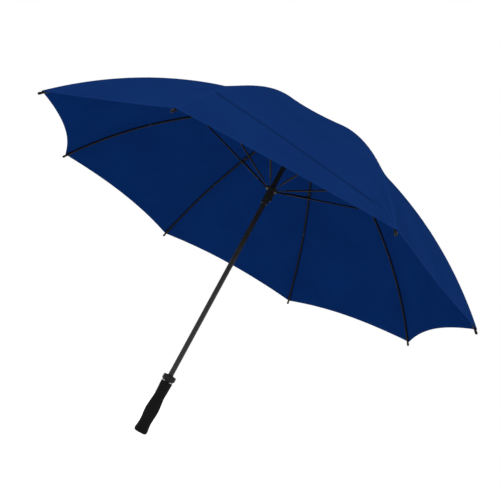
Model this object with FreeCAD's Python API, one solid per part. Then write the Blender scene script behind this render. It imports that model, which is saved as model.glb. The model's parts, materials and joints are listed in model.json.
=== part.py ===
import FreeCAD, Part
import math
import os

# Golf umbrella, open, with eight ribs.
# Frame: +Z runs up the shaft to the ferrule, and the origin is the middle of the grip's end face.
# Everything that repeats round the shaft is drawn in the XZ plane, where X is the distance
# from the shaft's axis, and is then turned about Z to its own azimuth.

V = FreeCAD.Vector
UP = V(0, 0, 1)
ACROSS = V(0, 1, 0)

# ---- driving dimensions, in millimetres and degrees ----
rib_count = 8
first_rib_azimuth = -67.5
crown_z = 964.0           # height of the ring of pivots that the ribs swing on
pivot_ring = 14.0         # radius of both rings of pivots
canopy_radius = 645.0     # from the axis to the end of a rib
flex_radius = 316.0       # from the axis to where a rib's two rods meet
root_angle = 8.5          # slope of a rib at its root, below horizontal
flex_angle = 28.5         # slope where its two rods meet
tip_angle = 50.6          # slope at its end
runner_z = 736.0          # height of the runner's ring of pivots, open

shaft_radius = 7.0
shaft_bore = 4.6
shaft_bottom = 12.0
core_radius = 8.5
rod_radius = 2.6
stretcher_rod_radius = 2.4
blade_thickness = 1.6     # flattened ends of ribs and stretchers
blade_half = 2.2
slot_width = 2.0          # slots in the notch and the runner that the blades work in
notch_rim_radius = 18.0
runner_rim_radius = 16.4
runner_length = 47.0      # from the runner's ring of pivots down to its lower end
wire_radius = 0.6
wire_clearance = 0.08
rivet_radius = 1.0
rivet_clearance = 0.06
fit = 0.05                # clearance between pieces that are pushed together

joint_sleeve_length = 22.0
joint_sleeve_radius = 3.9
joint_bore = 2.7
joint_set_back = 8.0      # from the meeting of the rods back to the stretcher's rivet
joint_drop = 7.5          # from the rod's middle down to the rivet
flex_pin_radius = 0.8     # pin that the outer rod turns on
cheek_radius = 2.7        # cheeks on the sleeve's end that hold the flex pin
cheek_thickness = 1.1
open_blade = 40.0         # flat blade at a stretcher's inner end
open_notch = 26.0         # stretch of that blade that is cut open above the wire

cloth_offset = 4.4        # from a rib's middle out to the middle of the cloth
cloth_thickness = 0.5
cloth_start = -5.0        # where the cloth begins, along a rib from its pivot
scallop = 24.0            # how far the hem draws in between two ribs
sag_share = 0.025         # how far the cloth hangs in between two ribs, as a share of their spacing
seam_gap = 0.2            # between two neighbouring gores

grip_length = 143.0
collar_base = 144.0
ferrule_top = 997.0

step_angle = 360.0 / rib_count


# ---- small tools ----
def turned(shape, azimuth):
    copy = shape.copy()
    copy.rotate(V(0, 0, 0), UP, azimuth)
    return copy


def azimuth_of(number):
    return first_rib_azimuth + step_angle * (number - 1)


def tube(outer, inner, bottom, top):
    body = Part.makeCylinder(outer, top - bottom, V(0, 0, bottom))
    return body.cut(Part.makeCylinder(inner, top - bottom + 2, V(0, 0, bottom - 1)))


def turned_profile(points):
    """Solid of revolution about Z from a closed outline of (radius, height) points."""
    outline = [V(r, 0, z) for r, z in points]
    wire = Part.makePolygon(outline + [outline[0]])
    return Part.Face(wire).revolve(V(0, 0, 0), UP, 360)


def box(x0, x1, half_width, z0, z1):
    return Part.makeBox(x1 - x0, 2 * half_width, z1 - z0, V(x0, -half_width, z0))


def across(radius, length, x, z):
    """Cylinder through (x, z) that lies square to the XZ plane."""
    return Part.makeCylinder(radius, length, V(x, -length / 2, z), ACROSS)


def heading(angle):
    """Unit vector in the XZ plane, angle degrees above +X."""
    return V(math.cos(math.radians(angle)), 0, math.sin(math.radians(angle)))


def plate(start, direction, from_length, to_length, below, above, thickness):
    """Flat plate in the XZ plane along direction, from below to above its middle line."""
    side = V(-direction.z, 0, direction.x)
    a = start + direction * from_length - side * below
    b = start + direction * to_length - side * below
    c = start + direction * to_length + side * above
    d = start + direction * from_length + side * above
    shift = V(0, -thickness / 2, 0)
    face = Part.Face(Part.makePolygon([p + shift for p in (a, b, c, d, a)]))
    return face.extrude(V(0, thickness, 0))


# ---- the curve of a rib: two arcs that share a tangent ----
def sine(angle):
    return math.sin(math.radians(angle))


def cosine(angle):
    return math.cos(math.radians(angle))


inner_bend = (flex_radius - pivot_ring) / (sine(flex_angle) - sine(root_angle))
outer_bend = (canopy_radius - flex_radius) / (sine(tip_angle) - sine(flex_angle))
root = V(pivot_ring, 0, crown_z)
inner_centre = root - V(sine(root_angle), 0, cosine(root_angle)) * inner_bend
flex = inner_centre + V(sine(flex_angle), 0, cosine(flex_angle)) * inner_bend
outer_centre = flex - V(sine(flex_angle), 0, cosine(flex_angle)) * outer_bend
inner_length = math.radians(flex_angle - root_angle) * inner_bend
outer_length = math.radians(tip_angle - flex_angle) * outer_bend
rib_length = inner_length + outer_length


def rib_at(length):
    """Point on a rib's middle line, and the slope there, at a length along it from its pivot."""
    if length < 0:
        return root + heading(-root_angle) * length, root_angle
    if length < inner_length:
        angle = root_angle + math.degrees(length / inner_bend)
        return inner_centre + V(sine(angle), 0, cosine(angle)) * inner_bend, angle
    angle = flex_angle + math.degrees((length - inner_length) / outer_bend)
    return outer_centre + V(sine(angle), 0, cosine(angle)) * outer_bend, angle


def bent_rod(outer_radius, inner_radius, from_length, to_length):
    """Rod or sleeve round the rib's middle line, within one of its two arcs."""
    on_inner_arc = to_length <= inner_length + 1e-6
    centre = inner_centre if on_inner_arc else outer_centre
    bend = inner_bend if on_inner_arc else outer_bend
    start, angle = rib_at(from_length)
    forward = heading(-angle)
    face = Part.Face(Part.Wire(Part.makeCircle(outer_radius, start, forward)))
    if inner_radius:
        face = face.cut(Part.Face(Part.Wire(Part.makeCircle(inner_radius, start, forward))))
    return face.revolve(centre, ACROSS, math.degrees((to_length - from_length) / bend))


# ---- stretcher geometry ----
knee_foot, knee_slope = rib_at(inner_length - joint_set_back)
knee = knee_foot - V(sine(knee_slope), 0, cosine(knee_slope)) * joint_drop
hub = V(pivot_ring, 0, runner_z)
stretcher_length = knee.distanceToPoint(hub)
stretcher_slope = math.degrees(math.atan2(knee.z - hub.z, knee.x - hub.x))


# ---- handle ----
def make_grip():
    """Foam sleeve with two waists and a belly for the palm."""
    waist_points = [(17.8, 8), (15.7, 29), (18.1, 62), (14.6, 106), (15.7, grip_length - 1)]
    side = Part.BSplineCurve()
    side.interpolate([V(r, 0, z) for r, z in waist_points])
    bore = core_radius + fit
    bottom_corner = Part.Arc(V(13.6, 0, 0.8), V(16.8, 0, 2.8), V(17.8, 0, 8)).toShape()
    top_corner = Part.Arc(V(15.7, 0, grip_length - 1), V(15.4, 0, grip_length - 0.3),
                          V(14.7, 0, grip_length)).toShape()
    edges = [
        bottom_corner,
        side.toShape(),
        top_corner,
        Part.makeLine(V(14.7, 0, grip_length), V(bore, 0, grip_length)),
        Part.makeLine(V(bore, 0, grip_length), V(bore, 0, 8)),
        Part.makeLine(V(bore, 0, 8), V(13.6, 0, 8)),
        Part.makeLine(V(13.6, 0, 8), V(13.6, 0, 0.8)),
    ]
    return Part.Face(Part.Wire(edges)).revolve(V(0, 0, 0), UP, 360)


def make_grip_core():
    """Moulded tube glued to the shaft, with the foam pushed over it."""
    return tube(core_radius, shaft_radius + fit, shaft_bottom, grip_length)


def make_grip_end_cap():
    """Moulded plug in the foam's end, with a spigot up the core's bore."""
    disc = Part.makeCylinder(13.5, 7.9)
    disc = disc.makeFillet(0.8, [e for e in disc.Edges if e.BoundBox.ZMax < 0.1])
    spigot = Part.makeCylinder(shaft_radius - 0.5, shaft_bottom - 8.2, V(0, 0, 7.9))
    return disc.fuse(spigot).removeSplitter()


def make_handle_collar():
    """Moulded ring over the grip: a groove, and a thick flange with a flat top and a low hub."""
    outline = [(shaft_radius + fit, 0), (14.8, 0), (15.0, 2.6), (16.6, 3.4), (17.6, 5.2), (17.8, 9.5),
               (17.6, 14), (16.8, 16.2), (15.6, 17), (9.4, 17), (8.6, 18.2), (shaft_radius + fit, 18.4)]
    return turned_profile([(r, z + collar_base) for r, z in outline])


# ---- shaft and crown ----
stop_pin_z = runner_z + 5.2
notch_pin_z = crown_z - 10.0
pin_radius = 1.2


def make_shaft():
    body = tube(shaft_radius, shaft_bore, shaft_bottom, crown_z + 14)
    for z in (stop_pin_z, notch_pin_z):
        body = body.cut(across(pin_radius + fit, 20, 0, z))
    return body


def make_stop_pin():
    """Cross pin that the runner comes up against."""
    return across(pin_radius, 2 * shaft_radius + 3, 0, stop_pin_z)


def make_notch_pin():
    """Cross pin that holds the notch on the shaft."""
    return across(pin_radius, 18.4, 0, notch_pin_z)


def slotted_ring(bottom, top, wire_z, rim_radius):
    """Disc with a slot for each blade and a groove round its rim that the wire lies in."""
    ring = tube(rim_radius, shaft_radius + fit, bottom, top)
    for number in range(1, rib_count + 1):
        slot = box(10.6, rim_radius + 1, slot_width / 2, bottom - 1, top + 1)
        ring = ring.cut(turned(slot, azimuth_of(number)))
    groove = tube(rim_radius + 1, pivot_ring - wire_radius - fit, wire_z - 0.75, wire_z + 0.75)
    return ring.cut(groove)


def make_top_notch():
    """Slotted crown that the eight ribs swing in, with a skirt that is pinned to the shaft."""
    skirt = tube(9.3, shaft_radius + fit, crown_z - 15, crown_z - 3.4)
    notch = slotted_ring(crown_z - 3.5, crown_z + 2.8, crown_z, notch_rim_radius).fuse(skirt)
    return notch.cut(across(pin_radius + fit, 30, 0, notch_pin_z)).removeSplitter()


def make_wire(z):
    return Part.makeTorus(pivot_ring, wire_radius, V(0, 0, z), UP)


def make_crown_washer():
    """Stiff disc over the notch that the cloth is gathered on."""
    return tube(8.8, shaft_radius + fit, crown_z + 2.9, crown_z + 6.3)


def make_crown_cap():
    """Pressed cap over the gathered cloth."""
    low = crown_z + 6.7
    outline = [(shaft_radius + fit, low), (17.5, low - 1.4), (18.4, low - 1.0), (18.2, low + 0.2),
               (15.5, low + 2.4), (11.5, low + 3.8), (shaft_radius + fit, low + 4.4)]
    return turned_profile(outline)


def make_ferrule():
    """Spike on the shaft's end: a socket, a shoulder and a round-nosed pin."""
    low = crown_z + 11.3
    pin = 4.0
    outline = [(shaft_radius + fit, low), (8.6, low), (8.8, low + 0.6), (8.8, low + 4.4), (8.0, low + 6),
               (5.6, low + 8.2), (pin, low + 9.5), (pin, ferrule_top - 1.5), (pin - 1.5, ferrule_top),
               (0, ferrule_top), (0, crown_z + 14.1), (shaft_radius + fit, crown_z + 14.1)]
    return turned_profile(outline)


# ---- runner and its catch ----
catch_x = 12.0
catch_z = runner_z - 20.0
catch_half = 2.0


def make_runner():
    """Tapered sleeve that slides on the shaft, with a slotted hub at its top and cheeks for the catch."""
    bore = shaft_radius + 0.08
    hub_ring = slotted_ring(runner_z - 4, runner_z + 3.5, runner_z, runner_rim_radius)
    outline = [(bore, -runner_length), (8.6, -runner_length), (9.1, 0.7 - runner_length), (10.2, -14),
               (10.2, -3.9), (bore, -3.9)]
    sleeve = turned_profile([(r, z + runner_z) for r, z in outline])
    body = hub_ring.fuse(sleeve)
    cheeks = box(7.5, 13.6, catch_half + 1.2, catch_z - 11, catch_z + 11)
    well = box(8.3, 20, catch_half + 0.15, catch_z - 13.6, catch_z + 12.6)
    window = box(5, 9, catch_half - 0.45, catch_z + 7.4, catch_z + 12.6)
    body = body.fuse(cheeks).cut(well).cut(window)
    body = body.cut(across(0.8 + fit, 20, catch_x, catch_z))
    clear = Part.makeCylinder(bore, runner_length + 8, V(0, 0, runner_z - runner_length - 2))
    return body.cut(clear).removeSplitter()


def make_catch_lever():
    """Rocking catch: a thumb pad below its pin, and a nib above it that points at the shaft."""
    arm = box(10.5, 13.4, catch_half, catch_z - 13, catch_z + 12)
    pad = box(12.4, 14.6, catch_half, catch_z - 13, catch_z - 4)
    nib = box(shaft_radius + 0.35, 11, catch_half - 0.6, catch_z + 8, catch_z + 11)
    lever = arm.fuse(pad).fuse(nib).removeSplitter()
    outer_edges = [e for e in lever.Edges if e.BoundBox.XMin > 14.5]
    lever = lever.makeFillet(0.9, outer_edges)
    return lever.cut(across(0.8 + 0.06, 20, catch_x, catch_z))


def make_catch_pin():
    return across(0.8, 2 * (catch_half + 1.1), catch_x, catch_z)


def make_catch_spring():
    """Coil spring between the sleeve and the thumb pad."""
    coil_radius = 1.2
    coil_wire = 0.22
    height = 1.6
    path = Part.makeHelix(0.55, height, coil_radius)
    start = Part.Wire(Part.makeCircle(coil_wire, V(coil_radius, 0, 0), V(0, 1, 0.07)))
    coil = Part.Wire(path).makePipeShell([start], True, True)
    coil.rotate(V(0, 0, 0), ACROSS, 90)
    coil.translate(V(8.3 + 0.28, 0, catch_z - 9.5))
    return coil


# ---- ribs, joints and stretchers ----
def make_inner_rib():
    """Inner rod of a rib, flattened and drilled at its root for the notch's wire."""
    rod_start = 8.0
    rod = bent_rod(rod_radius, 0, rod_start, inner_length - rod_radius - 0.4)
    along = heading(-root_angle)
    blade = plate(root, along, 0, rod_start + 6, blade_half, blade_half, blade_thickness)
    eye = across(blade_half, blade_thickness, root.x, root.z)
    shape = rod.fuse(blade).fuse(eye)
    return shape.cut(across(wire_radius + wire_clearance, 10, root.x, root.z)).removeSplitter()


def make_outer_rod():
    """Outer rod of a rib, round-ended and drilled where it turns in the joint."""
    tip_cover = 9.0
    rod = bent_rod(rod_radius, 0, inner_length, rib_length - tip_cover)
    ball = Part.makeSphere(rod_radius, flex)
    hole = across(flex_pin_radius + rivet_clearance, 10, flex.x, flex.z)
    return rod.fuse(ball).removeSplitter().cut(hole)


def make_tip_cap():
    """Moulded cap on the rod's end that the cloth's corner is sewn to."""
    back = rib_at(rib_length - 22)[0]
    end, angle = rib_at(rib_length)
    along = (end - back).normalize()
    outline = [(rod_radius + 0.15, 0), (3.5, 0), (3.8, 1.2), (3.5, 10), (3.0, 19), (3.3, 22.5), (3.5, 25),
               (3.0, 27.6), (1.6, 29), (0, 29.2), (0, 14), (rod_radius + 0.15, 14)]
    cap = turned_profile(outline)
    cap.rotate(V(0, 0, 0), ACROSS, 90 + math.degrees(math.atan2(-along.z, along.x)))
    cap.translate(back)
    return cap


def make_rib_joint():
    """Crimped sleeve round the meeting of the two rods, with two lugs for the stretcher
    and two cheeks for the pin that the outer rod turns on."""
    sleeve = bent_rod(joint_sleeve_radius, 0, inner_length - joint_sleeve_length, inner_length)
    toward = (knee - knee_foot).normalize()
    lugs = []
    for side in (-1, 1):
        arm = plate(knee_foot, toward, 0, joint_drop, 3.6, 3.6, 1.4)
        end = across(3.6, 1.4, knee.x, knee.z)
        lug = arm.fuse(end)
        lug.translate(V(0, side * 1.7, 0))
        lugs.append(lug)
    body = sleeve.fuse(lugs)
    bore = bent_rod(joint_bore, 0, inner_length - joint_sleeve_length - 4, inner_length)
    body = body.cut(bore)
    gap = plate(knee_foot, toward, joint_sleeve_radius - 0.4, joint_drop + 5, 6, 6, slot_width)
    body = body.cut(gap).cut(across(rivet_radius + rivet_clearance, 12, knee.x, knee.z))
    cheek_inside = joint_bore + fit
    for y in (cheek_inside, -cheek_inside - cheek_thickness):
        body = body.fuse(Part.makeCylinder(cheek_radius, cheek_thickness, V(flex.x, y, flex.z), ACROSS))
    body = body.cut(across(flex_pin_radius + fit, 12, flex.x, flex.z))
    flex_pin = across(flex_pin_radius, 2 * (cheek_inside + cheek_thickness) + 0.3, flex.x, flex.z)
    shank = across(rivet_radius, 6.2, knee.x, knee.z)
    heads = [Part.makeCylinder(1.9, 0.7, V(knee.x, y, knee.z), ACROSS) for y in (-3.15, 2.45)]
    rivet = shank.fuse(heads).removeSplitter()
    return Part.makeCompound([body.removeSplitter(), rivet, flex_pin])


def make_stretcher():
    """Strut from the runner to a rib's joint, with flat drilled ends.
    Its inner end is open above the wire, because the wire leaves it between open and closed."""
    along = heading(stretcher_slope)
    outer_blade = 14.0
    start = hub + along * (open_blade - 4)
    rod_length = stretcher_length - open_blade + 4 - outer_blade + 2
    rod = Part.makeCylinder(stretcher_rod_radius, rod_length, start, along)
    inner = plate(hub, along, 0, open_blade, blade_half, blade_half, blade_thickness)
    inner = inner.fuse(across(blade_half, blade_thickness, hub.x, hub.z))
    wire_room = wire_radius + wire_clearance
    opening = plate(hub, along, -5, open_notch, wire_room, 5, 4)
    inner = inner.cut(opening).cut(across(wire_room, 10, hub.x, hub.z))
    outer = plate(knee, along, -outer_blade, 0, blade_half, blade_half, blade_thickness)
    outer = outer.fuse(across(blade_half, blade_thickness, knee.x, knee.z))
    shape = rod.fuse(inner).fuse(outer)
    return shape.cut(across(rivet_radius + rivet_clearance, 10, knee.x, knee.z)).removeSplitter()


# ---- canopy ----
cloth_length = rib_length - 4.0


def rib_cloth(length, azimuth, lift):
    """Point of the cloth over a rib, at a length along it, lifted off the cloth's middle."""
    point, angle = rib_at(length)
    point = point + V(sine(angle), 0, cosine(angle)) * (cloth_offset + lift)
    return FreeCAD.Rotation(UP, azimuth).multVec(point)


def gore_point(number, along, over, lift):
    """Point of a gore: along runs 0 to 1 from crown to hem, over runs 0 to 1 from rib to rib."""
    hem = cloth_length - scallop * 4 * over * (1 - over)
    length = cloth_start + (hem - cloth_start) * along
    left = rib_cloth(length, azimuth_of(number), lift)
    right = rib_cloth(length, azimuth_of(number + 1), lift)
    spacing = left.distanceToPoint(right)
    share = (seam_gap / 2 + (spacing - seam_gap) * over) / spacing
    slope = rib_at(length)[1]
    middle = azimuth_of(number) + step_angle / 2
    inward = V(-sine(slope) * cosine(middle), -sine(slope) * sine(middle), -cosine(slope))
    sag = sag_share * spacing * 4 * over * (1 - over)
    return left + (right - left) * share + inward * sag


def sheet_solid(point_at, rows, columns, thickness):
    """Thin closed solid about a sheet, where point_at(along, over, lift) gives its points."""
    surfaces = []
    for lift in (-thickness / 2, thickness / 2):
        grid = [[point_at(i / (rows - 1), j / (columns - 1), lift) for j in range(columns)]
                for i in range(rows)]
        surface = Part.BSplineSurface()
        surface.interpolate(grid)
        surfaces.append(surface)
    under, over = surfaces
    faces = [under.toShape(), over.toShape()]
    u0, u1, v0, v1 = under.bounds()
    for u in (u0, u1):
        faces.append(Part.makeRuledSurface(under.uIso(u).toShape(), over.uIso(u).toShape()))
    for v in (v0, v1):
        faces.append(Part.makeRuledSurface(under.vIso(v).toShape(), over.vIso(v).toShape()))
    shell = Part.makeShell(faces)
    shell.sewShape()
    solid = Part.Solid(Part.Shell(shell.Faces))
    if solid.Volume < 0:
        solid.reverse()
    return solid


def make_gore(number):
    def point_at(along, over, lift):
        return gore_point(number, along, over, lift)
    return sheet_solid(point_at, 14, 7, cloth_thickness)


strap_gore = 4
strap_length = 190.0
strap_width = 24.0
strap_thickness = 1.0


def make_tie_strap():
    """Strap for the closed umbrella, lying on the outside of one gore beside a rib."""
    hem_share = 0.97
    start_share = hem_share - strap_length / cloth_length

    def point_at(along, over, lift):
        share = start_share + (hem_share - start_share) * along
        spacing = 2 * sine(step_angle / 2) * rib_at(share * cloth_length)[0].x
        inset = 14.0 + strap_width * over
        return gore_point(strap_gore, share, inset / spacing, lift + 1.1)
    return sheet_solid(point_at, 6, 4, strap_thickness)


# ---- write every piece ----
def write(name, shape):
    shape.exportStep("parts/" + name + ".step")
    solids = len(shape.Solids)
    print(f"{name}: {solids} solid(s), {shape.Volume:.1f} mm3, valid {shape.isValid()}")


def main():
    os.makedirs("parts", exist_ok=True)
    single = {
        "grip": make_grip(),
        "grip_core": make_grip_core(),
        "grip_end_cap": make_grip_end_cap(),
        "handle_collar": make_handle_collar(),
        "shaft": make_shaft(),
        "stop_pin": make_stop_pin(),
        "top_notch": make_top_notch(),
        "top_notch_wire": make_wire(crown_z),
        "notch_pin": make_notch_pin(),
        "crown_washer": make_crown_washer(),
        "crown_cap": make_crown_cap(),
        "ferrule": make_ferrule(),
        "runner": make_runner(),
        "runner_wire": make_wire(runner_z),
        "catch_lever": make_catch_lever(),
        "catch_pin": make_catch_pin(),
        "catch_spring": make_catch_spring(),
        "tie_strap": make_tie_strap(),
    }
    for name, shape in single.items():
        write(name, shape)
    inner_rib = make_inner_rib()
    outer_rib = Part.makeCompound([make_outer_rod(), make_tip_cap()])
    joint = make_rib_joint()
    stretcher = make_stretcher()
    for number in range(1, rib_count + 1):
        azimuth = azimuth_of(number)
        write(f"rib_inner_{number}", turned(inner_rib, azimuth))
        write(f"rib_outer_{number}", turned(outer_rib, azimuth))
        write(f"rib_joint_{number}", turned(joint, azimuth))
        write(f"stretcher_{number}", turned(stretcher, azimuth))
        write(f"canopy_gore_{number}", make_gore(number))
    print(f"rib {rib_length:.1f} mm, stretcher {stretcher_length:.2f} mm at {stretcher_slope:.2f} degrees")
    print(f"flex at {flex.x:.3f}, {flex.z:.3f}; knee at {knee.x:.3f}, {knee.z:.3f}")


main()
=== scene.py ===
import json
import math

import bpy
import numpy as np
from mathutils import Matrix, Vector


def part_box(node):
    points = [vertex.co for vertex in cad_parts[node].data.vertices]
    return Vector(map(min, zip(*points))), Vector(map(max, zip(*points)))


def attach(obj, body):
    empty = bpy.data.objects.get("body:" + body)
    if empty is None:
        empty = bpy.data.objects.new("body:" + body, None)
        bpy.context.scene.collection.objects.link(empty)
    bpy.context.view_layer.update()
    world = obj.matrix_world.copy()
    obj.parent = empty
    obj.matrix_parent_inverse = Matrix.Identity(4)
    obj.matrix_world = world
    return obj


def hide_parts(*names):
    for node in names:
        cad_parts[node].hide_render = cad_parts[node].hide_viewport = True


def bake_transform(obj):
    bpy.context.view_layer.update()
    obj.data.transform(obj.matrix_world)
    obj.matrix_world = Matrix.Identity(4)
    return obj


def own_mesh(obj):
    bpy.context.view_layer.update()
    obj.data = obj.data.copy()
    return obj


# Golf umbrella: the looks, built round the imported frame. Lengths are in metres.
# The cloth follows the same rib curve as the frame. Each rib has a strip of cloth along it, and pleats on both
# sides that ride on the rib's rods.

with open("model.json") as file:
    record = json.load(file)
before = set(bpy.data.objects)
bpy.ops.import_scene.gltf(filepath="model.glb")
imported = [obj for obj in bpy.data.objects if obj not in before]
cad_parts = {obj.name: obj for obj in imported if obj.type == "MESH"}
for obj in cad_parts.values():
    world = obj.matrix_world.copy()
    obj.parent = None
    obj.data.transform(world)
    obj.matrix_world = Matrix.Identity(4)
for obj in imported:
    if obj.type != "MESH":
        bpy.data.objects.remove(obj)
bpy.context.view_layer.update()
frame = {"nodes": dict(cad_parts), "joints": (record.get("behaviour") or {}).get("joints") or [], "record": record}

# ---- the frame's dimensions ----
rib_count = 8
first_rib_azimuth = math.radians(-67.5)
step = 2 * math.pi / rib_count
crown_height = 0.964
pivot_ring = 0.014
canopy_radius = 0.645
flex_radius = 0.316
root_slope = math.radians(8.5)
flex_slope = math.radians(28.5)
tip_slope = math.radians(50.6)
rod_radius = 0.0026

# ---- the cloth's dimensions ----
cloth_lift = 0.0048        # middle of the cloth above a rib's middle line
cloth_thickness = 0.00035
cloth_start = -0.005       # along a rib from its pivot
tip_allowance = 0.004      # the cloth ends this short of the rib's end
scallop = 0.024            # how far the hem curves in between two tips
sag_share = 0.025          # sag in the middle of a gore, as a share of its width
seam_half = 0.0055         # width of the folded seam on each side of a rib
seam_fold = 0.0003         # how much thicker the cloth is at the seam
hem_depth = 0.007
hem_fold = 0.00035         # how much thicker the cloth is at the hem
fold_edge = 0.0008         # half the width of the step at the seam's edge
hem_edge = 0.0006          # half the width of the step at the hem's edge
outer_fold_share = 0.6     # share of a fold's thickness that shows on the outside
groove_depth = 0.0003      # line of the seam along a rib
groove_width = 0.0009
widest_strip = 0.496       # share of a gore that a rib's strip covers at the crown
pleat_clearance = 0.0004   # half the gap between neighbouring pleats when closed

# ---- how fine the cloth's meshes are ----
inner_rows = 66
outer_rows = 92
crease_rows = 110          # on the half of the outer cloth that holds the crease
plain_rows = 40            # on its other half
inner_pleat_columns = 26
outer_pleat_columns = 42

inner_bend = (flex_radius - pivot_ring) / (math.sin(flex_slope) - math.sin(root_slope))
outer_bend = (canopy_radius - flex_radius) / (math.sin(tip_slope) - math.sin(flex_slope))
inner_length = (flex_slope - root_slope) * inner_bend
rib_length = inner_length + (tip_slope - flex_slope) * outer_bend
cloth_length = rib_length - tip_allowance


# ---- curve of a rib ----
def rib_line(length, lift):
    """Radius, height and slope of the rib's curve, lifted off its middle line."""
    on_inner = length < inner_length
    slope = np.where(on_inner, root_slope + np.maximum(length, 0) / inner_bend,
                     flex_slope + (length - inner_length) / outer_bend)
    inner_radius = pivot_ring + inner_bend * (np.sin(slope) - math.sin(root_slope))
    inner_height = crown_height - inner_bend * (math.cos(root_slope) - np.cos(slope))
    flex_height = crown_height - inner_bend * (math.cos(root_slope) - math.cos(flex_slope))
    outer_radius = flex_radius + outer_bend * (np.sin(slope) - math.sin(flex_slope))
    outer_height = flex_height - outer_bend * (math.cos(flex_slope) - np.cos(slope))
    before = np.minimum(length, 0)
    radius = np.where(on_inner, inner_radius + before * math.cos(root_slope), outer_radius)
    height = np.where(on_inner, inner_height - before * math.sin(root_slope), outer_height)
    return radius + lift * np.sin(slope), height + lift * np.cos(slope), slope


def rib_azimuth(number):
    return first_rib_azimuth + step * (number - 1)


def gore_width(radius):
    """Straight distance between two neighbouring ribs, at a radius."""
    return 2 * math.sin(step / 2) * radius


def smooth(edge0, edge1, value):
    """0 below the first edge, 1 above the second, and a smooth step between them."""
    t = np.clip((value - edge0) / (edge1 - edge0), 0, 1)
    return t * t * (3 - 2 * t)


# ---- shape of the cloth, and the painted shade of its crease and puckers ----
near_gore = 8
crease_start = 0.598       # where the near gore's crease leaves its left rib
crease_slant = 0.105       # how much nearer the hem it is at the right rib
crease_depth = 0.0026
crease_width = 0.0058
lip_share = 0.55           # height of the raised lip beside the crease, as a share of its depth
lip_place = 0.014
lip_width = 0.012
gather_height = 0.0004
gathers_per_gore = 5
pull_height = 0.0011       # folds that fan out from a rib's tip
pull_reach = 0.055
pull_rate = 17             # how closely they follow each other round the tip
# pucker_rate and pucker_reach only place the painted shade strokes round the tips
pucker_rate = 21
pucker_reach = 0.05
tip_phase = 1.3            # so that no two tips are alike
slack_height = 0.0009
rib_grip = 0.008           # the cloth is free of its rib from about this far away


def hem_length(share):
    """Length along the cloth from the ribs' pivots to the hem. It is shortest in a gore's middle."""
    return cloth_length - scallop * 4 * share * (1 - share)


def crease_drop(length, share):
    """How far a place on the near gore lies above its crease."""
    return crease_start + crease_slant * share * share - length


def painted_crease_shade(gore, length, share):
    """Painted shade, 0 to 1: the cloth is coloured darker at the bottom of the crease and on the puckers beside
    the tips.
    """
    line_place, line_width = 0.001, 0.0042
    drop = crease_drop(length, share)
    # painted shade along the bottom of the crease
    line = np.exp(-((drop - line_place) / line_width) ** 2) * (1 - smooth(0.88, 0.97, share))
    radius = rib_line(length, cloth_lift)[0]
    side = np.minimum(share, 1 - share) * gore_width(radius)
    up = np.maximum(cloth_length - length, 1e-4)
    reach = np.hypot(side, up)
    # painted shade strokes that fan out from each tip, darkest beside the near gore's right tip
    fan = np.sin(pucker_rate * np.arctan2(side, up) + tip_phase * gore)
    puckers = smooth(0.35, 1, fan) * np.exp(-reach / pucker_reach)
    puckers = puckers * smooth(0.012, 0.035, reach) * smooth(0.002, 0.012, side)
    near_right = (gore == near_gore) & (share > 0.5)
    strength = np.where(near_right, 1.5, 0.35)
    return np.clip(np.where(gore == near_gore, line, 0) + puckers * strength, 0, 1)


def relief(gore, length, share):
    """Small folds in the cloth: gathers at the crown, pulls at the tips, slack waves and one crease."""
    radius = rib_line(length, cloth_lift)[0]
    side = np.minimum(share, 1 - share) * gore_width(radius)
    free = 1 - np.exp(-(side / rib_grip) ** 2)
    gathers = gather_height * np.sin(2 * math.pi * gathers_per_gore * share + gore)
    gathers = gathers * smooth(0.02, 0.045, length)
    gathers = gathers * (1 - smooth(0.05, 0.16, length))
    up = cloth_length - length
    reach = np.hypot(side, up)
    turn = np.arctan2(side, np.maximum(up, 1e-4))
    fan = np.sin(pull_rate * turn + tip_phase * gore)
    pulls = fan * np.exp(-reach / pull_reach) * smooth(0.004, 0.03, reach)
    slack = np.sin(9 * length + 1.9 * gore) * np.sin(2 * math.pi * share + 0.7 * gore)
    slack = slack * smooth(0.1, 0.4, length)
    drop = crease_drop(length, share)
    lip = lip_share * np.exp(-((drop - lip_place) / lip_width) ** 2)
    fold = np.exp(-(drop / crease_width) ** 2) - lip
    fading = (1 - 0.45 * share) * (1 - smooth(0.86, 0.97, share))
    crease = np.where(gore == near_gore, fold * fading, 0)
    return free * (gathers + pull_height * pulls + slack_height * slack - crease_depth * crease)


def cloth_place(gore, length, share, lift, folds=True):
    """Points of the cloth: share runs 0 to 1 from a gore's first rib to its second."""
    radius, height, slope = rib_line(length, cloth_lift)
    first = first_rib_azimuth + step * (gore - 1)
    middle = first + step / 2
    x = radius * ((1 - share) * np.cos(first) + share * np.cos(first + step))
    y = radius * ((1 - share) * np.sin(first) + share * np.sin(first + step))
    raised = lift - sag_share * gore_width(radius) * 4 * share * (1 - share)
    if folds:
        raised = raised + relief(gore, length, share)
    out = np.stack([np.sin(slope) * np.cos(middle), np.sin(slope) * np.sin(middle), np.cos(slope)], -1)
    return np.stack([x, y, height], -1) + out * raised[..., None]


# ---- how the frame closes: the planes half-way between the ribs when it is closed ----
limits = {joint["name"]: joint.get("range_deg") for joint in frame["joints"]}
rib_fold = math.radians(max(limits["rib_fold_1"]))
rib_flex = math.radians(min(limits["rib_flex_1"]))
flex_height = float(rib_line(np.array(inner_length), 0)[1])


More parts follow.
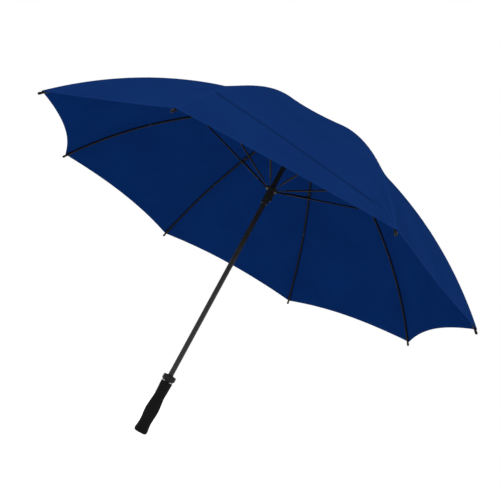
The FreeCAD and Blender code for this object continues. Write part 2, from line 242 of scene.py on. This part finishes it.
def pleat_plane(number, side, outer):
    """(normal, anchor) in the rest pose of the plane half-way to the next rib when closed."""
    fold = rib_fold + (rib_flex if outer else 0)
    hinge = (flex_radius, flex_height) if outer else (pivot_ring, crown_height)
    closed_radius = pivot_ring
    if outer:
        out, up = flex_radius - pivot_ring, flex_height - crown_height
        closed_radius += out * math.cos(rib_fold) + up * math.sin(rib_fold)
    azimuth = rib_azimuth(number)
    radial = Vector((math.cos(azimuth), math.sin(azimuth), 0))
    around = Vector((-math.sin(azimuth), math.cos(azimuth), 0))
    up = Vector((0, 0, 1))
    outward = radial * math.cos(fold) + up * math.sin(fold)
    anchor = radial * hinge[0] + up * hinge[1] - outward * closed_radius
    normal = around * (side * math.cos(step / 2)) - outward * math.sin(step / 2)
    return normal, anchor - normal * pleat_clearance


def strip_share(number, side, outer, length):
    """Share of the gore that a rib's strip covers at each length: it ends on the pleat's plane."""
    normal, anchor = (np.array(v) for v in pleat_plane(number, side, outer))
    shares = np.linspace(0, widest_strip, 125)
    flat = np.ravel(length)
    lengths, grid = np.meshgrid(flat, shares, indexing="ij")
    gore = number if side > 0 else number - 1
    over = grid if side > 0 else 1 - grid
    distance = (cloth_place(gore, lengths, over, np.zeros_like(grid), False) - anchor) @ normal
    found = [np.interp(0, row, shares) for row in distance]
    return np.array(found).reshape(np.shape(length))


def gore_name(number):
    return (number - 1) % rib_count + 1


def rows_of(number, outer):
    """Rows of a rib's cloth. They are closer together where the crease is."""
    if not outer:
        return np.linspace(cloth_start, inner_length, inner_rows)
    if number in (near_gore, gore_name(near_gore + 1)):
        plain = np.linspace(0, 0.5, plain_rows, endpoint=False)
        return np.concatenate([plain, np.linspace(0.5, 1, crease_rows)])
    return np.linspace(0, 1, outer_rows)


def lengths_at(outer, row, share):
    """Lengths along the rib for a row, which is a share of the way to the hem on the outer cloth."""
    if outer:
        return inner_length + (hem_length(share) - inner_length) * row
    return row + 0 * share


def side_edge(number, side, outer):
    """Share of the gore at the strip's edge, row by row. A row's length depends on it, so it is refined."""
    first_guess, rounds = 0.1, 4
    rows = rows_of(number, outer)
    edge = np.full_like(rows, first_guess)
    for _ in range(rounds):
        edge = strip_share(number, side, outer, lengths_at(outer, rows, edge))
    return edge


# ---- mesh tools ----
def new_object(name, mesh):
    piece = bpy.data.objects.new(name, mesh)
    bpy.context.scene.collection.objects.link(piece)
    return piece


def grid_faces(rows, columns):
    r, c = np.meshgrid(np.arange(rows - 1), np.arange(columns - 1), indexing="ij")
    a = (r * columns + c).ravel()
    return np.stack([a, a + columns, a + columns + 1, a + 1], 1)


def rim_order(rows, columns):
    """The points round a grid's rim, in order."""
    down = [r * columns for r in range(rows)]
    along = [(rows - 1) * columns + c for c in range(1, columns)]
    back = [r * columns + columns - 1 for r in range(rows - 2, -1, -1)]
    home = [c for c in range(columns - 2, 0, -1)]
    return down + along + back + home


def thin_solid(name, over, under, cloth_uv, edge_uv, materials):
    """Closed thin piece from two grids of points, with its two UV maps given face by face."""
    rows, columns = over.shape[:2]
    count = rows * columns
    top = grid_faces(rows, columns)
    bottom = top[:, ::-1] + count
    rim = rim_order(rows, columns)
    after = rim[1:] + rim[:1]
    sides = np.array([[b, a, a + count, b + count] for a, b in zip(rim, after)])
    faces = np.concatenate([top, bottom, sides])
    mesh = bpy.data.meshes.new(name)
    points = np.concatenate([over.reshape(-1, 3), under.reshape(-1, 3)])
    mesh.from_pydata(points.tolist(), [], faces.tolist())
    is_rim = np.arange(len(faces)) >= 2 * len(top)
    mesh.polygons.foreach_set("use_smooth", ~is_rim)
    slots = np.zeros(len(faces), np.int32)
    slots[len(top):2 * len(top)] = 1
    mesh.polygons.foreach_set("material_index", slots)
    corner_edges = np.zeros(4 * len(faces), np.int32)
    mesh.loops.foreach_get("edge_index", corner_edges)
    rim_edges = corner_edges.reshape(-1, 4)[is_rim]
    sharp = np.zeros(len(mesh.edges), bool)
    sharp[rim_edges[:, [0, 2]]] = True
    mesh.attributes.new("sharp_edge", "BOOLEAN", "EDGE").data.foreach_set("value", sharp)
    for material in materials:
        mesh.materials.append(material)
    for layer_name, corner_uv in (("cloth", cloth_uv), ("edges", edge_uv)):
        layer = mesh.uv_layers.new(name=layer_name)
        upper = corner_uv(top)
        lower = upper[:, ::-1]
        plain = corner_uv(sides % count)
        layer.data.foreach_set("uv", np.concatenate([upper, lower, plain]).astype(np.float32).ravel())
    mesh.update()
    return new_object(name, mesh)


def cloth_piece(name, gore, length, share, split=None):
    """Piece of cloth over a grid of places. Left of column split, a face belongs to the gore before."""
    radius = rib_line(length, cloth_lift)[0]
    side = np.minimum(share, 1 - share) * gore_width(radius)
    hem_gap = hem_length(share) - length
    seam = 1 - smooth(seam_half - fold_edge, seam_half + fold_edge, side)
    hem = 1 - smooth(hem_depth - hem_edge, hem_depth + hem_edge, hem_gap)
    fold = np.maximum(seam_fold * seam, hem_fold * hem)
    groove = groove_depth * np.exp(-(side / groove_width) ** 2)
    half = cloth_thickness / 2
    over = cloth_place(gore, length, share, half + outer_fold_share * fold - groove)
    under = cloth_place(gore, length, share, -half - fold)
    columns = length.shape[1]
    across = ((share - 0.5) * gore_width(radius)).ravel()
    along = length.ravel()
    edges = np.stack([side.ravel(), hem_gap.ravel()], -1)

    def cloth_uv(faces):
        u = across[faces]
        if split is not None:
            in_left = (faces % columns).min(1) < split
            on_seam = faces % columns == split
            u = np.where(on_seam & in_left[:, None], -u, u)
        return np.stack([u, along[faces]], -1)

    def edge_uv(faces):
        return edges[faces]

    piece = thin_solid(name, over, under, cloth_uv, edge_uv, [cloth_outside, cloth_inside])
    # painted shade of the crease and the puckers, kept on the points for the cloth's colour
    shade = np.tile(painted_crease_shade(gore, length, share).ravel(), 2).astype(np.float32)
    piece.data.attributes.new("painted_crease_shade", "FLOAT", "POINT").data.foreach_set("value", shade)
    return piece


def tube_mesh(name, path, radius, sides, material):
    """Closed tube along a path of points, with pointed ends."""
    end_point = 0.6 * radius
    path = np.asarray(path)
    tangents = np.gradient(path, axis=0)
    tangents /= np.linalg.norm(tangents, axis=1)[:, None]
    normal = np.cross(tangents[0], [0.3, 0.5, 0.8])
    normal /= np.linalg.norm(normal)
    rings = []
    for point, tangent in zip(path, tangents):
        normal = normal - tangent * (normal @ tangent)
        normal /= np.linalg.norm(normal)
        other = np.cross(tangent, normal)
        angles = 2 * math.pi * np.arange(sides) / sides
        rings.append(point + radius * (np.cos(angles)[:, None] * normal + np.sin(angles)[:, None] * other))
    points = np.concatenate(rings + [path[:1] - tangents[:1] * end_point,
                                     path[-1:] + tangents[-1:] * end_point])
    faces = []
    for ring in range(len(path) - 1):
        for k in range(sides):
            a, b = ring * sides + k, ring * sides + (k + 1) % sides
            faces.append([a, b, b + sides, a + sides])
    first, last = len(path) * sides, len(path) * sides + 1
    for k in range(sides):
        faces.append([(k + 1) % sides, k, first])
        faces.append([(len(path) - 1) * sides + k, (len(path) - 1) * sides + (k + 1) % sides, last])
    mesh = bpy.data.meshes.new(name)
    mesh.from_pydata(points.tolist(), [], faces)
    mesh.polygons.foreach_set("use_smooth", [True] * len(faces))
    mesh.materials.append(material)
    mesh.update()
    return new_object(name, mesh)


def lathe_mesh(name, outline, segments, material, bumps=None):
    """Closed solid of revolution about Z from a closed outline of (radius, height)."""
    outline = np.asarray(outline)
    angles = 2 * math.pi * np.arange(segments) / segments
    radius = np.repeat(outline[:, :1], segments, 1)
    height = np.repeat(outline[:, 1:], segments, 1)
    if bumps is not None:
        radius = radius + bumps(radius, height, angles[None, :])
    points = np.stack([radius * np.cos(angles), radius * np.sin(angles), height], -1).reshape(-1, 3)
    faces = []
    rings = len(outline)
    for ring in range(rings):
        for k in range(segments):
            a, b = ring * segments + k, ring * segments + (k + 1) % segments
            up = ((ring + 1) % rings) * segments
            faces.append([a, b, up + (k + 1) % segments, up + k])
    mesh = bpy.data.meshes.new(name)
    mesh.from_pydata(points.tolist(), [], faces)
    mesh.polygons.foreach_set("use_smooth", [True] * len(faces))
    mesh.materials.append(material)
    mesh.update()
    return new_object(name, mesh)


# ---- materials ----
class Paint:
    """A material's node tree with a few short ways to add nodes."""

    def __init__(self, name, roughness, metallic=0.0, specular=0.5):
        self.material = bpy.data.materials.new(name)
        self.material.use_nodes = True
        self.tree = self.material.node_tree
        self.shader = self.tree.nodes["Principled BSDF"]
        self.shader.inputs["Roughness"].default_value = roughness
        self.shader.inputs["Metallic"].default_value = metallic
        self.shader.inputs["Specular IOR Level"].default_value = specular

    def node(self, kind, **settings):
        made = self.tree.nodes.new("ShaderNode" + kind)
        for key, value in settings.items():
            setattr(made, key, value)
        return made

    def feed(self, value, socket):
        if isinstance(value, bpy.types.NodeSocket):
            self.tree.links.new(value, socket)
        else:
            socket.default_value = value

    def math(self, operation, first, second=0.0, third=0.0):
        made = self.node("Math", operation=operation)
        for value, socket in zip((first, second, third), made.inputs):
            self.feed(value, socket)
        return made.outputs[0]

    def place(self):
        return self.node("TexCoord").outputs["Object"]

    def noise(self, scale, detail=3.0, where=None):
        made = self.node("TexNoise")
        self.feed(where if where is not None else self.place(), made.inputs["Vector"])
        made.inputs["Scale"].default_value = scale
        made.inputs["Detail"].default_value = detail
        return made.outputs["Fac"]

    def stretched(self, scale):
        made = self.node("Mapping")
        self.feed(self.place(), made.inputs["Vector"])
        made.inputs["Scale"].default_value = scale
        return made.outputs["Vector"]

    def ramp(self, value, low, high, from_low=0.0, from_high=1.0):
        made = self.node("MapRange")
        for name, number in (("From Min", from_low), ("From Max", from_high), ("To Min", low),
                             ("To Max", high)):
            made.inputs[name].default_value = number
        self.feed(value, made.inputs["Value"])
        return made.outputs["Result"]

    def bump(self, height, depth, strength=1.0):
        made = self.node("Bump")
        made.inputs["Strength"].default_value = strength
        made.inputs["Distance"].default_value = depth
        self.feed(height, made.inputs["Height"])
        self.feed(made.outputs["Normal"], self.shader.inputs["Normal"])

    def set(self, name, value):
        if isinstance(value, tuple) and len(value) == 3:
            value = (*value, 1.0)
        self.feed(value, self.shader.inputs[name])


def mixed(paint, share, first, second):
    made = paint.node("Mix", data_type="RGBA")
    paint.feed(share, made.inputs[0])
    colour_inputs = [s for s in made.inputs if s.type == "RGBA"]
    for value, socket in zip((first, second), colour_inputs):
        paint.feed(value if isinstance(value, bpy.types.NodeSocket) else (*value, 1.0), socket)
    return [s for s in made.outputs if s.type == "RGBA"][0]


stitch_pitch = 0.0032
stitch_share = 0.72        # share of the pitch that the thread shows
stitch_half_width = 0.0004
seam_stitches = 0.0038     # distance from the rib's middle line
hem_stitches = 0.0055      # distance from the hem's edge
weave_pitch = 0.0011


def stitches(paint, gap, along, line):
    """1 on the thread of a row of stitches at a distance from an edge, and 0 elsewhere."""
    off = paint.math("ABSOLUTE", paint.math("SUBTRACT", gap, line))
    on_line = paint.math("LESS_THAN", off, stitch_half_width)
    always_above_zero = paint.math("ADD", along, 10.0)
    phase = paint.math("FRACT", paint.math("DIVIDE", always_above_zero, stitch_pitch))
    return paint.math("MULTIPLY", on_line, paint.math("LESS_THAN", phase, stitch_share))


def cloth_material(name, colour, worn, thread, roughness, sheen, gloss, tint):
    """Fine plain weave with slightly uneven dye, a soft sheen, stitched seams and hem, and painted shade at the
    crease and the puckers.
    """
    paint = Paint(name, roughness, specular=gloss)
    paint.set("Specular Tint", tint)
    cloth = paint.node("UVMap", uv_map="cloth").outputs[0]
    parts = paint.node("SeparateXYZ")
    paint.feed(cloth, parts.inputs[0])
    across, along = parts.outputs[0], parts.outputs[1]
    edge_parts = paint.node("SeparateXYZ")
    paint.feed(paint.node("UVMap", uv_map="edges").outputs[0], edge_parts.inputs[0])
    rib_gap, hem_gap = edge_parts.outputs[0], edge_parts.outputs[1]
    warp = paint.math("SINE", paint.math("MULTIPLY", across, 2 * math.pi / weave_pitch))
    weft = paint.math("SINE", paint.math("MULTIPLY", along, 2 * math.pi / weave_pitch))
    weave = paint.math("MULTIPLY", warp, weft)
    slub = paint.noise(260.0, 4.0)
    patches = paint.noise(7.0, 3.0)
    shade = mixed(paint, paint.ramp(patches, 0.0, 1.0, 0.3, 0.7), colour, worn)
    seam_row = stitches(paint, rib_gap, along, seam_stitches)
    hem_row = stitches(paint, hem_gap, across, hem_stitches)
    # painted shade: the colour is mixed towards a quarter of its brightness at the crease and on the puckers
    painted_shade_amount = paint.node("Attribute", attribute_name="painted_crease_shade").outputs["Fac"]
    shadow = tuple(0.25 * c for c in colour)
    shade = mixed(paint, paint.math("MULTIPLY", painted_shade_amount, 0.42), shade, shadow)
    sewn = paint.math("MAXIMUM", seam_row, hem_row)
    paint.set("Base Color", mixed(paint, paint.math("MULTIPLY", sewn, 0.55), shade, thread))
    rough = paint.ramp(slub, roughness - 0.06, roughness + 0.08)
    paint.set("Roughness", rough)
    paint.set("Sheen Weight", sheen)
    paint.set("Sheen Roughness", 0.45)
    paint.set("Sheen Tint", tint)
    height = paint.math("ADD", paint.math("MULTIPLY", weave, 0.25), paint.math("MULTIPLY", slub, 0.8))
    height = paint.math("ADD", height, paint.math("MULTIPLY", sewn, 1.6))
    paint.bump(height, 0.00012, 0.7)
    return paint.material


def foam_material():
    """Closed-cell foam: matt, with fine pores and patches that a palm has polished."""
    paint = Paint("grip_foam", 0.85, specular=0.06)
    cells = paint.node("TexVoronoi", feature="F1")
    paint.feed(paint.place(), cells.inputs["Vector"])
    cells.inputs["Scale"].default_value = 900.0
    pores = cells.outputs["Distance"]
    grain = paint.noise(420.0, 5.0)
    polish = paint.noise(28.0, 2.0)
    paint.set("Base Color", mixed(paint, grain, foam_dark, foam_pale))
    paint.set("Roughness", paint.ramp(polish, 0.62, 0.9))
    paint.set("Sheen Weight", 0.01)
    height = paint.math("ADD", paint.math("MULTIPLY", pores, 0.8), grain)
    paint.bump(height, 0.0003, 0.5)
    return paint.material


def hard_material(name, colour, edge_colour, roughness, grain_scale, grain_depth, metallic=0.0, coat=0.0,
                  streak=(1.0, 1.0, 1.0), specular=0.5):
    """Moulded, drawn or lacquered surface: fine grain, uneven gloss and edges that are rubbed paler."""
    paint = Paint(name, roughness, metallic, specular)
    grain = paint.noise(grain_scale, 4.0, paint.stretched(streak))
    smudge = paint.noise(22.0, 3.0)
    edge = paint.node("NewGeometry").outputs["Pointiness"]
    worn = paint.ramp(edge, 0.0, 0.65, from_low=0.53, from_high=0.62)
    worn = paint.math("MULTIPLY", worn, paint.ramp(smudge, 0.3, 1.0))
    base = mixed(paint, paint.ramp(grain, 0.0, 0.35), colour, edge_colour)
    paint.set("Base Color", mixed(paint, worn, base, edge_colour))
    paint.set("Roughness", paint.ramp(smudge, roughness - 0.08, roughness + 0.12))
    paint.set("Coat Weight", coat)
    paint.bump(grain, grain_depth, 0.6)
    return paint.material


foam_dark = (0.0026, 0.0026, 0.0027)
foam_pale = (0.0062, 0.0062, 0.0064)
along_shaft = (1.0, 1.0, 0.06)      # grain drawn out along Z

cloth_outside = cloth_material("canopy_outside", (0.0031, 0.0170, 0.0815), (0.0039, 0.0191, 0.0897),
                               (0.012, 0.040, 0.16), 0.66, 0.004, 0.0, (0.15, 0.4, 1.0))
cloth_inside = cloth_material("canopy_inside", (0.0016, 0.0143, 0.0765), (0.0021, 0.0168, 0.0865),
                              (0.006, 0.030, 0.12), 0.70, 0.004, 0.0, (0.1, 0.35, 1.0))
foam = foam_material()
plastic = hard_material("black_plastic", (0.0060, 0.0056, 0.0052), (0.016, 0.015, 0.014), 0.42, 900.0,
                        0.00006, specular=0.12)
fibreglass = hard_material("black_fibreglass", (0.0042, 0.0034, 0.0027), (0.011, 0.009, 0.007), 0.36, 700.0,
                           0.00004, streak=along_shaft, specular=0.07)
shaft_finish = hard_material("black_shaft", (0.0046, 0.0044, 0.0042), (0.013, 0.012, 0.011), 0.30, 700.0,
                             0.00004, streak=along_shaft, specular=0.27)
lacquered = hard_material("black_metal", (0.0045, 0.0040, 0.0034), (0.024, 0.021, 0.018), 0.38, 1100.0,
                          0.00003, specular=0.1)
wire = hard_material("bright_wire", (0.52, 0.52, 0.53), (0.75, 0.75, 0.76), 0.28, 1500.0, 0.00002,
                     metallic=1.0)
thread = hard_material("navy_thread", (0.006, 0.022, 0.095), (0.02, 0.05, 0.17), 0.75, 2200.0, 0.00008)

slot_materials = {
    "black_plastic": plastic,
    "black_fibreglass": fibreglass,
    "black_metal": lacquered,
    "bright_wire": wire,
    "navy_cloth": cloth_outside,
    "foam_grip": foam,
}
for part in frame["record"]["subparts"]:
    mesh = frame["nodes"][part["node"]].data
    mesh.materials.clear()
    finish = shaft_finish if part["node"] == "shaft" else slot_materials[part["material_slot"]]
    mesh.materials.append(finish)


# ---- canopy ----
strip_columns = np.array([0, 0.07, 0.15, 0.24, 0.32, 0.4, 0.52, 0.66, 0.82, 1.0])
tie_lengths = {False: 0.17, True: 0.47}     # where a thread holds the cloth to the inner and the outer rod
tie_turns = 3
tie_advance = 0.0016       # along the rib for each turn
tie_radius = 0.00032


def rib_thread(number, outer):
    """Thread sewn three times round the rib and through the seam above it."""
    length = tie_lengths[outer]
    radius, height, slope = (float(v) for v in rib_line(np.array(length), 0))
    azimuth = rib_azimuth(number)
    radial = np.array([math.cos(azimuth), math.sin(azimuth), 0])
    around = np.array([-math.sin(azimuth), math.cos(azimuth), 0])
    up = np.array([0, 0, 1])
    forward = radial * math.cos(slope) - up * math.sin(slope)
    out = radial * math.sin(slope) + up * math.cos(slope)
    centre = radial * radius + up * height
    turn = np.linspace(0, 2 * math.pi * tie_turns, 20 * tie_turns + 1)
    top = cloth_lift + 0.0003
    bottom = -(rod_radius + 0.0004)
    half_width = rod_radius + 0.00045
    half_length = tie_advance * tie_turns / 2
    path = [centre + around * half_width * math.sin(t)
            + out * ((top + bottom) / 2 + (top - bottom) / 2 * math.cos(t))
            + forward * (tie_advance * t / (2 * math.pi) - half_length) for t in turn]
    label = "outer" if outer else "inner"
    piece = tube_mesh(f"rib_thread_{label}_{number}", path, tie_radius, 6, thread)
    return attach(piece, f"rib_end_{number}" if outer else f"rib_{number}")


def strip_edges(number):
    """Both edges of a rib's strip on both of its rods, which meet where the rib flexes."""
    edges = {(side, outer): side_edge(number, side, outer) for side in (-1, 1) for outer in (False, True)}
    for side in (-1, 1):
        edges[side, True][0] = edges[side, False][-1]
    return edges


def rib_strip(number, edges):
    """Strip of cloth along the whole rib, tied to it with threads. Its shape curves smoothly over the place where
    the rib flexes.
    """
    columns = len(strip_columns) - 1
    shares, lengths = [], []
    for outer in (False, True):
        left = strip_columns[:0:-1] * edges[-1, outer][:, None]
        right = strip_columns * edges[1, outer][:, None]
        share = np.concatenate([1 - left, right], 1)
        length = lengths_at(outer, rows_of(number, outer)[:, None], share)
        first_row = 1 if outer else 0
        shares.append(share[first_row:])
        lengths.append(length[first_row:])
    share, length = np.concatenate(shares), np.concatenate(lengths)
    is_left = np.arange(share.shape[1]) < columns
    gore = np.where(is_left, gore_name(number - 1), number) + 0 * share
    strip = cloth_piece(f"canopy_strip_{number}", gore, length, share, columns)
    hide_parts(f"canopy_gore_{gore_name(number - 1)}", f"canopy_gore_{number}")
    threads = [rib_thread(number, outer) for outer in (False, True)]
    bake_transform(strip)


def rib_pleats(number, outer, edges):
    """The cloth between a rib's strip and the middle of the gores beside it, along one of its rods."""
    label = "outer" if outer else "inner"
    rows = rows_of(number, outer)[:, None]
    columns = np.linspace(0, 1, outer_pleat_columns if outer else inner_pleat_columns)
    for side in (-1, 1):
        edge = edges[side, outer]
        first_row = 0 if outer else max(int(np.argmax(edge < widest_strip - 0.001)) - 1, 0)
        over = edge[first_row:, None] + (0.5 - edge[first_row:, None]) * columns
        owner = number if side > 0 else gore_name(number - 1)
        if side < 0:
            over = 1 - over[:, ::-1]
        length = lengths_at(outer, rows[first_row:], over)
        owners = np.full_like(length, owner)
        place = "after" if side > 0 else "before"
        pleat = cloth_piece(f"canopy_pleat_{label}_{place}_{number}", owners, length, over)
        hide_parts(f"canopy_gore_{owner}")
        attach(pleat, f"rib_end_{number}" if outer else f"rib_{number}")
        normal, anchor = pleat_plane(number, side, outer)
        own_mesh(pleat)


for number in range(1, rib_count + 1):
    edges = strip_edges(number)
    rib_strip(number, edges)
    rib_pleats(number, False, edges)
    rib_pleats(number, True, edges)


# ---- tie strap ----
strap_rib = 4
strap_inset = 0.014
strap_width = 0.024
strap_length = 0.190
strap_hem_gap = 0.022
strap_lift = 0.0011
strap_thickness = 0.0009
strap_rounding = 0.0012    # how far in from its edges the strap is thinner
strap_edge_share = 0.35    # thickness at its very edge


def tie_strap():
    """Folded and stitched strap, sewn down beside a rib."""
    start = cloth_length - strap_hem_gap - strap_length
    lengths = np.linspace(start, start + strap_length, 64)[:, None]
    inset = np.linspace(0, strap_width, 17)[None, :]
    length = lengths + 0 * inset
    share = (strap_inset + inset) / gore_width(rib_line(length, cloth_lift)[0])
    gore = np.full_like(length, strap_rib)
    side_gap = np.minimum(inset, strap_width - inset) + 0 * length
    end_gap = np.minimum(lengths - start, start + strap_length - lengths) + 0 * inset
    rise = np.clip(np.minimum(side_gap, end_gap) / strap_rounding, 0, 1)
    half = strap_thickness / 2 * (strap_edge_share + (1 - strap_edge_share) * rise)
    lift = strap_lift + 0.0004 * np.sin(length * 60)
    over = cloth_place(gore, length, share, lift + half)
    under = cloth_place(gore, length, share, lift - half)
    across, along = (inset + 0 * length).ravel(), length.ravel()
    edges = np.stack([side_gap.ravel(), end_gap.ravel()], -1)
    piece = thin_solid("tie_strap_cloth", over, under, lambda f: np.stack([across[f], along[f]], -1),
                       lambda f: edges[f], [cloth_outside, cloth_outside])
    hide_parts("tie_strap")
    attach(piece, f"rib_end_{strap_rib}")
    normal = pleat_plane(strap_rib, 1, True)[0]
    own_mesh(piece)


tie_strap()


# ---- spring of the catch ----
def catch_coil():
    """Small coil spring under the catch's thumb pad."""
    low, high = (Vector(corner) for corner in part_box("catch_spring"))
    middle = (low + high) / 2
    wire_radius = 0.00022
    coil_radius = (high.z - low.z) / 2 - wire_radius
    turns = 3
    angles = np.linspace(0, 2 * math.pi * turns, 32 * turns + 1)
    along = np.linspace(low.x + wire_radius, high.x - wire_radius, len(angles))
    across = middle.y + coil_radius * np.cos(angles)
    up = middle.z + coil_radius * np.sin(angles)
    piece = tube_mesh("catch_coil", np.stack([along, across, up], -1), wire_radius, 8, wire)
    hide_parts("catch_spring")
    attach(piece, "runner")
    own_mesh(piece)


catch_coil()


# ---- grip ----
grip_heights = np.array([0.008, 0.029, 0.062, 0.106, 0.142])
grip_radii = np.array([0.0178, 0.0157, 0.0181, 0.0146, 0.0157])
grip_top = 0.143
grip_bore = 0.00855
cap_radius = 0.0136
low_corner = (0.0042, 0.0072)       # half width and height of the rounding at the grip's end
low_corner_height = 0.008
high_corner = 0.0010                # radius of the rounding at its top


def waist_radius(height):
    """Smooth curve through the grip's waists and belly."""
    slopes = np.gradient(grip_radii, grip_heights)
    slopes[1:-1] = 0
    k = np.clip(np.searchsorted(grip_heights, height) - 1, 0, len(grip_heights) - 2)
    span = grip_heights[k + 1] - grip_heights[k]
    t = (height - grip_heights[k]) / span
    return ((1 + 2 * t) * (1 - t) ** 2 * grip_radii[k] + t * (1 - t) ** 2 * span * slopes[k]
            + t * t * (3 - 2 * t) * grip_radii[k + 1] + t * t * (t - 1) * span * slopes[k + 1])


def foam_grip():
    low_turn = np.radians(np.linspace(-90, 0, 9))[:-1]
    bottom = [(cap_radius + low_corner[0] * math.cos(a), low_corner_height + low_corner[1] * math.sin(a))
              for a in low_turn]
    heights = np.linspace(grip_heights[0], grip_heights[-1], 110)
    side = list(zip(waist_radius(heights), heights))
    high_turn = np.radians(np.linspace(0, 90, 7))[1:]
    corner_radius = grip_radii[-1] - high_corner
    corner_height = grip_top - high_corner
    top = [(corner_radius + high_corner * math.cos(a), corner_height + high_corner * math.sin(a))
           for a in high_turn]
    inside = [(grip_bore, grip_top), (grip_bore, low_corner_height), (cap_radius, low_corner_height)]
    outline = bottom + side + top + inside

    def dents(radius, height, angle):
        """Shallow wear and a fine grain, on the outside only."""
        worn = 0.00012 * np.sin(3 * angle + 40 * height) * np.sin(90 * height + 2 * angle)
        grain = 0.00004 * np.sin(31 * angle + 900 * height) * np.sin(47 * angle - 1300 * height)
        outside = smooth(0.0140, 0.0146, radius)
        return (worn + grain) * outside

    piece = lathe_mesh("grip_foam_sleeve", outline, 128, foam, dents)
    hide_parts("grip")
    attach(piece, "root")


foam_grip()


# ---- floor, light and camera ----
def stage():
    """Plain pale floor that runs out of sight, and an even white sky."""
    mesh = bpy.data.meshes.new("floor")
    half = 60.0
    mesh.from_pydata([(-half, -half, 0), (half, -half, 0), (half, half, 0), (-half, half, 0)], [],
                     [(0, 1, 2, 3)])
    floor = new_object("floor", mesh)
    paint = Paint("floor_white", 0.9, specular=0.0)
    paint.set("Base Color", mixed(paint, paint.noise(3.0), (0.86, 0.86, 0.86), (0.9, 0.9, 0.9)))
    paint.set("Emission Color", (1.0, 1.0, 1.0))
    paint.set("Emission Strength", 0.55)
    mesh.materials.append(paint.material)
    world = bpy.data.worlds.new("studio")
    world.use_nodes = True
    world.node_tree.nodes["Background"].inputs["Color"].default_value = (1, 1, 1, 1)
    world.node_tree.nodes["Background"].inputs["Strength"].default_value = 1.0
    bpy.context.scene.world = world
    bpy.context.scene.view_settings.view_transform = "Standard"


def soft_light(name, place, aim, size, power):
    lamp = bpy.data.lights.new(name, "AREA")
    lamp.size = size
    lamp.energy = power
    light = bpy.data.objects.new(name, lamp)
    bpy.context.scene.collection.objects.link(light)
    light.location = place
    light.rotation_euler = (Vector(aim) - Vector(place)).to_track_quat("-Z", "Y").to_euler()


camera_place = Vector((-0.022, -1.971, 0.112))
camera_aim = Vector((0.027, 0.0, 0.556))
camera_roll = math.radians(-28.36)
camera_lens = 53.6


def camera():
    """Camera below the canopy's edge, tilted so that the umbrella leans over to the right."""
    data = bpy.data.cameras.new("camera")
    data.lens = camera_lens
    data.sensor_width = 36.0
    data.clip_start = 0.01
    data.clip_end = 200.0
    made = bpy.data.objects.new("camera", data)
    bpy.context.scene.collection.objects.link(made)
    forward = (camera_aim - camera_place).normalized()
    right = forward.cross(Vector((0, 0, 1))).normalized()
    up = right.cross(forward)
    tilted_up = up * math.cos(camera_roll) + right * math.sin(camera_roll)
    tilted_right = right * math.cos(camera_roll) - up * math.sin(camera_roll)
    turn = Matrix((tilted_right, tilted_up, -forward)).transposed()
    made.matrix_world = Matrix.Translation(camera_place) @ turn.to_4x4()
    bpy.context.scene.camera = made


stage()
soft_light("key", (-1.6, -2.4, 3.0), (0, 0, 0.7), 2.2, 60)
soft_light("fill", (2.6, -1.6, 1.4), (0, 0, 0.6), 2.0, 14)
camera()
